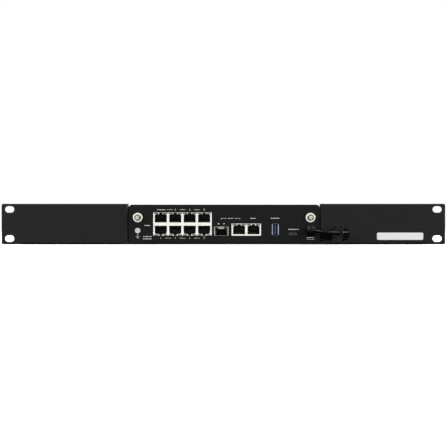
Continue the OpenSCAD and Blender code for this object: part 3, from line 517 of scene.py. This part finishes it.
def aerial_barrel(at):
    """Threaded barrel with a chamfered mouth, its neck through the panel, and its flange behind."""
    step = THREAD_PITCH / RINGS_PER_TURN
    rings = [(THREAD_R, THREAD_START + i * step) for i in range(int(THREAD_LENGTH / step) + 1)]
    return lathe(BARREL_MOUTH + rings + BARREL_REAR, at, sides=72, radius=threaded)


def aerial_sets():
    lo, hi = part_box("aerial_jacks")
    z = (lo.z + hi.z) / 2
    left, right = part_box("aerial_nuts")
    reach = (right.x - left.x) / 2 - NUT_CORNER_R * MM
    hexagonal = hexagon(NUT_CORNER_R * 2 * math.cos(math.pi / 6))
    barrels, nuts, washers, cores, sockets = [], [], [], [], []
    for x in about(centre("aerial_nuts").x, reach):
        at = (x, 0, z)
        barrels.append(aerial_barrel(at))
        nuts.append(lathe(NUT, at, sides=72, radius=hexagonal))
        washers.append(lathe(WASHER, at, sides=72))
        cores.append(lathe(CORE, at, sides=48))
        sockets.append(lathe(SOCKET, at, sides=32))
    # The barrels' dark gilt is painted shade in their thread
    place("aerial_barrels", joined("aerial_barrels", barrels), "gilt_brass", "aerial_jacks",
          material=PAINTED_SHADE_GILT, crease=32)
    place("aerial_hex_nuts", joined("aerial_hex_nuts", nuts), "gilt_brass", "aerial_nuts", crease=25)
    place("aerial_flat_washers", joined("aerial_flat_washers", washers), "nickel_shell", "aerial_washers")
    place("aerial_cores", joined("aerial_cores", cores), "white_insulator", "aerial_insulators")
    place("aerial_sockets", joined("aerial_sockets", sockets), "brass_pin")


# ---- jack blocks ----

# A jack's mouth is measured from the middle of its contact side: the heights where it narrows and
# ends, its half widths up to each of them, and the cuts across its corners.
KEY_H = (8.3, 8.9, 10.6)
KEY_HALF = (6.55, 5.5, 1.85)
SIDE_CUT, STEP_CUT, LATCH_CUT, NOTCH_CUT = 0.5, 0.4, 0.2, 0.3
LIGHT_U = (2.55, 7.35)  # a light window's reach sideways
LIGHT_V = (9.1, 10.85)  # and upwards
LIGHT_GAP = 0.06

SHEET_T = 0.4
SHEET_BEVEL = 0.08
SHIELD_CORNER_R = 0.4
CAVITY_BACK = 15  # y where the mouths end in the plastic
CLEAR = 0.01
ROW_SPLIT = 1.85  # from the middle of a two-row block to each row's contact side
SINGLE_ROW = 2  # from the foot of a one-row block to its contact side
UPLINK_FOOT = 0.3  # how far the uplink jacks' mouths reach past that side

SPRING_PITCH = 8
SPRING_HALF = 1.5
SPRING_Y = (3, 9)
SPRING_PROUD = 0.12


def keyhole(x, z, up, grow=0.0, notch=KEY_H[2], foot=0.0):
    """Outline of one jack's mouth, from its contact side to its latch notch."""
    wide, step, latch = [h + grow for h in KEY_HALF]
    side_top, step_top = KEY_H[:2]
    right = [(wide, -foot - grow), (wide, side_top - SIDE_CUT), (wide - SIDE_CUT, side_top),
             (step, side_top), (step - STEP_CUT, step_top), (latch + LATCH_CUT, step_top),
             (latch, step_top + LATCH_CUT), (latch, notch - NOTCH_CUT), (latch - NOTCH_CUT, notch)]
    ring = right + [(-u, v) for u, v in reversed(right)]
    return [(x + u, z + up * v) for u, v in ring]


def window_ring(x, z, up, side, inset=0.0):
    """Outline of one light window, beside the latch notch."""
    u = sorted(side * w for w in (LIGHT_U[0] + inset, LIGHT_U[1] - inset))
    v = sorted(up * w for w in (LIGHT_V[0] + inset, LIGHT_V[1] - inset))
    return round_ring((x + u[0], x + u[1]), (z + v[0], z + v[1]), 0.25, 3)


def jack_shell(kind, ports, foot):
    """Folded shield: its pierced face, its sides, top and back, and the springs that stand on top."""
    lo, hi = [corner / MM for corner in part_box(kind + "_shield")]
    face = [round_ring((lo.x, hi.x), (lo.z, hi.z), SHIELD_CORNER_R, 4)]
    for x, z, up in ports:
        face.append(keyhole(x, z, up, foot=foot))
        face += [window_ring(x, z, up, side) for side in (-1, 1)]
    bms = [plate(face, (lo.y, lo.y + SHEET_T), 0.1)]
    y = (lo.y + SHEET_T * 0.6, hi.y)
    for x in (lo.x, hi.x - SHEET_T):
        bms.append(block((x, x + SHEET_T), y, (lo.z, hi.z), SHEET_BEVEL))
    bms.append(block((lo.x, hi.x), y, (hi.z - SHEET_T, hi.z), SHEET_BEVEL))
    bms.append(block((lo.x, hi.x), (hi.y - SHEET_T, hi.y), (lo.z, hi.z), SHEET_BEVEL))
    for i in range(round((hi.x - lo.x) / SPRING_PITCH) - 1):
        u = lo.x + SPRING_PITCH * (i + 1)
        bms.append(block(about(u, SPRING_HALF), (lo.y + SPRING_Y[0], lo.y + SPRING_Y[1]),
                         (hi.z - 0.1, hi.z + SPRING_PROUD)))
    place(kind + "_shell", joined(kind, bms), "nickel_shell", kind + "_shield")


def jack_body(kind, ports, foot):
    """Plastic inside the shield: pierced as far as the mouths go, and solid behind them."""
    lo, hi = [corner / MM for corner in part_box(kind + "_shield")]
    inset = SHEET_T + CLEAR
    rings = [box_ring((lo.x + inset, hi.x - inset), (lo.z, hi.z - inset))]
    solid = plate(rings, (CAVITY_BACK, hi.y - inset), 0.02)
    rings += [keyhole(x, z, up, 0.06, KEY_H[2] - 0.6, foot) for x, z, up in ports]
    pierced = plate(rings, (lo.y + SHEET_T + 0.05, CAVITY_BACK), 0.05)
    place(kind + "_body", joined(kind, [pierced, solid]), "jack_plastic", kind + "_insert")


def light_windows(kind, ports):
    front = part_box(kind + "_shield")[0].y / MM
    span = (front + 0.12, front + SHEET_T)
    return [plate([window_ring(x, z, up, side, LIGHT_GAP)], span, 0.05)
            for x, z, up in ports for side in (-1, 1)]


def jacks():
    """Both blocks. up is 1 where a jack's latch notch is at the top, and -1 where it is at the foot."""
    windows = []
    for kind, columns, rows, foot in (("lan_jack", 4, (-1, 1), 0), ("uplink_jack", 2, (1,), UPLINK_FOOT)):
        lo, hi = [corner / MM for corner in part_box(kind + "_shield")]
        middle = (lo.x + hi.x) / 2
        ports = []
        for c in range(columns):
            x = middle + (c - (columns - 1) / 2) * PORT_PITCH
            for up in rows:
                z = (lo.z + hi.z) / 2 + up * ROW_SPLIT if len(rows) > 1 else lo.z + SINGLE_ROW
                ports.append((x, z, up))
        jack_shell(kind, ports, foot)
        jack_body(kind, ports, foot)
        windows += light_windows(kind, ports)
    place("jack_lights", joined("jack_lights", windows), "light_pipe", "jack_light_windows")


# ---- cage and data port ----

CAGE_HALF = 7.3
CAGE_WALL = 0.5
CAGE_H = 10.0
COLLAR_HALF = 7.9
COLLAR_T = 0.5
MOUTH_HALF = 7.0
TAB_HALF = 3.1
BUMP_X = 2.2
BUMP_HALF = 0.4
FINGER_FOOT = 2.2
FINGER_PITCH = 2.8
FINGER_HALF = 0.9
PAD_Z = (-3.5, -1, 1, 3.5)
PAD_HALF = 0.5


def module_cage():
    """Folded cage, open at the back. A collar and three spring fingers a side stand round its mouth,
    and a tab with two bumps hangs from the top."""
    lo, hi = [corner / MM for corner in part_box("module_cage")]
    x = (lo.x + hi.x) / 2
    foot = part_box("main_board")[1].z / MM
    top = foot + CAGE_H
    front = lo.y
    collar = [round_ring(about(x, COLLAR_HALF), (foot + 0.2, top - 0.2), 0.4, 4),
              round_ring(about(x, MOUTH_HALF), (foot + 0.45, top - 0.55), 0.3, 4)]
    bms = [plate(collar, (front, front + COLLAR_T), 0.1)]
    y = (front + 0.3, hi.y)
    for u in (x - CAGE_HALF, x + CAGE_HALF - CAGE_WALL):
        bms.append(block((u, u + CAGE_WALL), y, (foot, top)))
    for z in ((foot, foot + CAGE_WALL), (top - CAGE_WALL, top)):
        bms.append(block(about(x, CAGE_HALF), y, z))
    for u in about(x, BUMP_X):
        bms.append(block(about(u, BUMP_HALF), (FACE_Y - 0.4, FACE_Y), (top - 2.1, top - 1.2), 0.15))
    for s in (-1, 1):
        for i in range(3):
            z = foot + FINGER_FOOT + i * FINGER_PITCH
            wide = sorted((x + s * MOUTH_HALF, x + s * (MOUTH_HALF + 0.5)))
            bms.append(block(wide, (front - 0.1, front + 1.2), about(z, FINGER_HALF)))
    bms.append(block(about(x, TAB_HALF), (FACE_Y - 0.3, FACE_Y + 0.1), (top - 2.5, top - CAGE_WALL), 0.12))
    bms.append(block(about(x, TAB_HALF), (FACE_Y - 0.2, FACE_Y + 1.8), (top - 2.6, top - 2.3)))
    place("cage_shell", joined("cage_shell", bms), "cage_steel", "module_cage")


def data_contacts():
    """Dull gilt pads along the blue tongue's left side."""
    lo, hi = [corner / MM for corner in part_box("data_port_tongue")]
    x, z = (lo.x + hi.x) / 2, (lo.z + hi.z) / 2
    sheet, length = (x - 0.98, x - 0.88), (lo.y + 0.7, lo.y + 8)
    bms = [block(sheet, length, about(z + v, PAD_HALF), 0.02) for v in PAD_Z]
    place("data_contacts", joined("data_contacts", bms), "gold_contacts", material=DULL_GOLD)


# ---- plug and lead ----

RIBS = 5
PLUG_R = 5.5
PLUG_RIB_Y = -8.2
PLUG_RIB_PITCH = 1.7
TAIL_RIB_R = 3.0
TAIL_RIB_FROM = 4  # degrees along the tail's bend
TAIL_RIB_STEP = 4.6
LEAD_GROWTH = 0.07  # what smoothing takes off the lead's radius


def rib(r, proud, y, foot, crest):
    """Profile of a rib: foot and crest are its half widths."""
    return [(r, y - foot), (r + proud, y - crest), (r + proud, y + crest), (r, y + foot)]


def loop_tilt():
    """Slope of the lead's loop, from the plug down to the bushing."""
    plug, bushing = centre("plug_barrel"), centre("lead_bushing")
    return math.atan2(plug.z - bushing.z, bushing.x - plug.x)


def plug_ribs():
    """Ridges round the plug's body, and rings round its bent tail."""
    x, z = centre("plug_barrel").x, centre("plug_barrel").z
    bms = []
    for i in range(RIBS):
        ridge = rib(PLUG_R, 0.18, PLUG_RIB_Y - i * PLUG_RIB_PITCH, 0.5, 0.3)
        bms.append(lathe(ridge, (x, 0, z)))
    tilt = loop_tilt()
    for i in range(RIBS):
        a = math.radians(TAIL_RIB_FROM + i * TAIL_RIB_STEP)
        out = TAIL_R * (1 - math.cos(a)) * MM
        y = (TAIL_BEND_Y - TAIL_R * math.sin(a)) * MM
        spot = Vector((x + out * math.cos(tilt), y, z - out * math.sin(tilt)))
        ring = lathe(rib(TAIL_RIB_R, 0.24, 0, 0.35, 0.2), (0, 0, 0), sides=48)
        turn = Matrix.Translation(spot) @ Matrix.Rotation(tilt, 4, "Y") @ Matrix.Rotation(a, 4, "Z")
        bmesh.ops.transform(ring, matrix=turn, verts=ring.verts)
        bms.append(ring)
    place("plug_ribs", joined("plug_ribs", bms), "soft_black")


def smooth_lead():
    """The lead as one smooth tube along the CAD lead's own course."""
    bm = cad_bmesh("power_lead")
    for v in bm.verts:
        v.co += v.normal * LEAD_GROWTH * MM
    obj = place("lead_tube", from_bmesh(bm, "lead_tube"), "soft_black", "power_lead", crease=70)
    smooth = obj.modifiers.new("smooth", "SUBSURF")
    smooth.levels = smooth.render_levels = 2
    obj.modifiers.move(1, 0)


# ---- legends printed on the port side ----

INK_T = 0.03
INK_Y = (FACE_Y - INK_T, FACE_Y + 0.05)
INK_BEVEL = 0.005
NUMERAL_SIZE = 3.0
DASHES = (1.5, 0.9, 1.9, 1.2)
DASH_GAP = 0.35


def print_bar(x, z, h):
    return plate([box_ring(x, about(z, h / 2))], INK_Y, INK_BEVEL)


def word_mark(x, z, h=0.85):
    """A neutral stand-in for a word: a row of round-ended dashes of unequal length from x[0] to x[1]."""
    bms, u = [], x[0]
    while x[1] - u > 0.6:
        end = min(u + DASHES[len(bms) % len(DASHES)], x[1])
        if x[1] - end < 0.9:
            end = x[1]
        bms.append(plate([round_ring((u, end), about(z, h / 2), 0.2, 3)], INK_Y, INK_BEVEL))
        u = end + DASH_GAP
    return bms


def numeral(value, x, z):
    text = bpy.data.curves.new("numeral", "FONT")
    text.body = str(value)
    text.size = NUMERAL_SIZE * MM
    text.align_x = "CENTER"
    text.align_y = "CENTER"
    text.extrude = INK_T * MM
    bm = stood_up("numeral", text, x, FACE_Y, z)
    bpy.data.curves.remove(text)
    return bm


# In the next three, bare numbers are millimetres from the edge or the middle of the named piece.

def lan_legend():
    """Numbers over and under the eight jacks, with lines between them and a word in the first place."""
    lo, hi = [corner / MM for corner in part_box("lan_jack_shield")]
    first = (lo.x + hi.x) / 2 - 1.5 * PORT_PITCH
    bms = []
    for row, z in ((0, lo.z - 2.6), (1, hi.z + 3.0)):
        for c in range(4):
            x = first + c * PORT_PITCH
            worded = row and c == 0
            if worded:
                bms += word_mark(about(x, 4.2), z)
            else:
                bms.append(numeral(2 * c + 1 + row, x, z))
            if c < 3:
                shift = 1.7 if worded else 0
                bms.append(print_bar((x + 4.8 + shift, x + 11 + shift), z, 0.4))
    return bms


def uplink_legend():
    """Line with two turned-down ends from the cage to the first uplink jack, a word in its middle, a
    word over the second uplink jack, and two marks over the cage."""
    shield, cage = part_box("uplink_jack_shield"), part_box("module_cage")
    z = shield[1].z / MM + 5.6
    left, right = cage[0].x / MM + 8.0, shield[0].x / MM + 8.9
    middle = (left + right) / 2
    bms = [print_bar((left, middle - 4), z, 0.32), print_bar((middle + 4, right), z, 0.32)]
    for x in (left, right):
        bms.append(print_bar(about(x, 0.2), z - 0.6, 1.5))
    bms += word_mark(about(middle, 2.6), z)
    far = shield[1].x / MM
    bms += word_mark((far - 11.5, far - 5.9), z)
    for x in about(centre("module_cage").x / MM, 3):
        bms += word_mark(about(x, 0.8), cage[1].z / MM + 2.9, 1.1)
    return bms


def side_legends():
    """Marks by the data port, the console port, the power jack, the buttons and the earth screw."""
    usb, console = centre("data_port_shell") / MM, centre("console_port_shell") / MM
    power, button = centre("plug_barrel") / MM, centre("reset_button") / MM
    defaults, earth = centre("defaults_button") / MM, centre("earth_washer") / MM
    bms = word_mark((usb.x - 5, usb.x + 4.4), usb.z + 12.1)
    bms += word_mark((console.x - 4.8, console.x + 6.2), console.z + 4.9, 1.0)
    bms.append(print_bar(about(power.x, 4), power.z - 7.6, 0.5))
    bms += [print_bar((power.x + a, power.x + a + 2.1), power.z - 9.4, 0.5) for a in (-4, -1.05, 1.9)]
    bms += word_mark((button.x - 2.9, button.x + 3.7), button.z + 2.7)
    for down in (3.6, 6.1):
        bms += word_mark((defaults.x - 4.2, defaults.x + 4.8), defaults.z - down)
    bms.append(print_bar(about(earth.x, 0.25), earth.z - 5.2, 2.6))
    for i, half in enumerate((1.9, 1.25, 0.6)):
        bms.append(print_bar(about(earth.x, half), earth.z - 6.6 - i * 0.9, 0.36))
    return bms


def legends():
    bms = lan_legend() + uplink_legend() + side_legends()
    place("legends", joined("legends", bms), "label_white", material=WHITE_INK)


soft_edges()
aerial_sets()
jacks()
module_cage()
data_contacts()
plug_ribs()
smooth_lead()
legends()


# ---- stage ----

FLOOR_GAP = 0.0002
FLOOR_HALF = 30
SHADE_REACH = 0.12
CAMERA_FAR = 1.85
VIEW_WIDTH = 0.4873  # metres across the picture, at the front plane
FRONT_PLANE = -1.5 * MM
VIEW_X = 0.66 * MM
SENSOR = 36


def area_light(name, place_at, aim, size, radiance):
    light = bpy.data.lights.new(name, "AREA")
    light.shape = "RECTANGLE"
    light.size, light.size_y = size
    light.energy = size[0] * size[1] * math.pi * radiance
    obj = bpy.data.objects.new(name, light)
    obj.location = place_at
    obj.rotation_euler = (Vector(aim) - Vector(place_at)).to_track_quat("-Z", "Y").to_euler()
    bpy.context.scene.collection.objects.link(obj)


def studio():
    """A soft wall of light behind the camera, and softboxes in front, behind and above on each side."""
    area_light("camera_wall", (0, -3.0, 0.0), (0, 0, 0), (3.0, 1.1), 1.12)
    for s, front in ((-1, 6.6), (1, 5.3)):
        area_light("front_soft", (s * 2.0, -2.2, 0.6), (0, 0, 0), (1.6, 1.1), front)
        area_light("back_soft", (s * 2.0, 2.2, 1.2), (0, 0.1, 0), (1.6, 1.2), 10)
        area_light("high_soft", (s * 1.7, 0.3, 2.2), (0, 0.1, 0), (1.2, 1.6), 8)


def surroundings():
    """White to the camera. What it lights is grey in front, nearly dark behind, and dark underneath."""
    world = bpy.data.worlds.new("studio")
    bpy.context.scene.world = world
    world.use_nodes = True
    tree = world.node_tree
    tree.nodes.clear()

    def ramp(value, lo, hi, to_lo, to_hi):
        n = tree.nodes.new("ShaderNodeMapRange")
        for key, v in (("From Min", lo), ("From Max", hi), ("To Min", to_lo), ("To Max", to_hi)):
            n.inputs[key].default_value = v
        tree.links.new(value, n.inputs["Value"])
        return n.outputs["Result"]

    def background():
        n = tree.nodes.new("ShaderNodeBackground")
        n.inputs["Color"].default_value = (1, 1, 1, 1)
        return n

    seen, lighting = background(), background()
    direction = tree.nodes.new("ShaderNodeTexCoord").outputs["Generated"]
    axes = tree.nodes.new("ShaderNodeSeparateXYZ")
    tree.links.new(direction, axes.inputs[0])
    strength = tree.nodes.new("ShaderNodeMath")
    strength.operation = "MULTIPLY"
    tree.links.new(ramp(axes.outputs["Y"], 0.2, -0.7, 0.04, 0.4), strength.inputs[0])
    tree.links.new(ramp(axes.outputs["Z"], -0.12, 0.0, 0.0, 1.0), strength.inputs[1])
    tree.links.new(strength.outputs[0], lighting.inputs["Strength"])
    path = tree.nodes.new("ShaderNodeLightPath")
    mix = tree.nodes.new("ShaderNodeMixShader")
    tree.links.new(path.outputs["Is Camera Ray"], mix.inputs["Fac"])
    tree.links.new(lighting.outputs[0], mix.inputs[1])
    tree.links.new(seen.outputs[0], mix.inputs[2])
    out = tree.nodes.new("ShaderNodeOutputWorld")
    tree.links.new(mix.outputs[0], out.inputs["Surface"])


def floor():
    """Pale floor that glows, except where the object stands close over it: there the glow fades into a
    painted shadow.
    """
    s = Shader("floor_pale", (0.6, 0.6, 0.6), 0.9, Specular_IOR_Level=0.0)
    s.color(s.mix(s.noise(400, 3), (0.6, 0.6, 0.6), (0.63, 0.63, 0.63)))
    s.bsdf.inputs["Emission Color"].default_value = (1, 1, 1, 1)
    # Painted shadow: the glow dims where the object hems the floor in
    shade = s.node("ShaderNodeAmbientOcclusion", samples=6)
    shade.inputs["Distance"].default_value = SHADE_REACH
    glow = s.remap(shade.outputs["AO"], 0.35, 0.97, 0.02, 0.92)
    s.link(glow, s.bsdf.inputs["Emission Strength"])
    bm = bmesh.new()
    bmesh.ops.create_grid(bm, x_segments=1, y_segments=1, size=FLOOR_HALF)
    bmesh.ops.translate(bm, verts=bm.verts, vec=(0, 0, cad_box[0].z - FLOOR_GAP))
    mesh = from_bmesh(bm, "floor")
    mesh.materials.append(s.mat)
    obj = bpy.data.objects.new("floor", mesh)
    bpy.context.scene.collection.objects.link(obj)
    obj.visible_diffuse = False
    obj.visible_glossy = False


def camera():
    data = bpy.data.cameras.new("camera")
    data.sensor_width = SENSOR
    data.lens = SENSOR * CAMERA_FAR / VIEW_WIDTH
    data.clip_end = 40
    obj = bpy.data.objects.new("camera", data)
    obj.location = (VIEW_X, FRONT_PLANE - CAMERA_FAR, 0)
    obj.rotation_euler = (math.radians(90), 0, 0)
    bpy.context.scene.collection.objects.link(obj)
    bpy.context.scene.camera = obj


studio()
surroundings()
floor()
camera()
bpy.context.scene.view_settings.view_transform = "Standard"
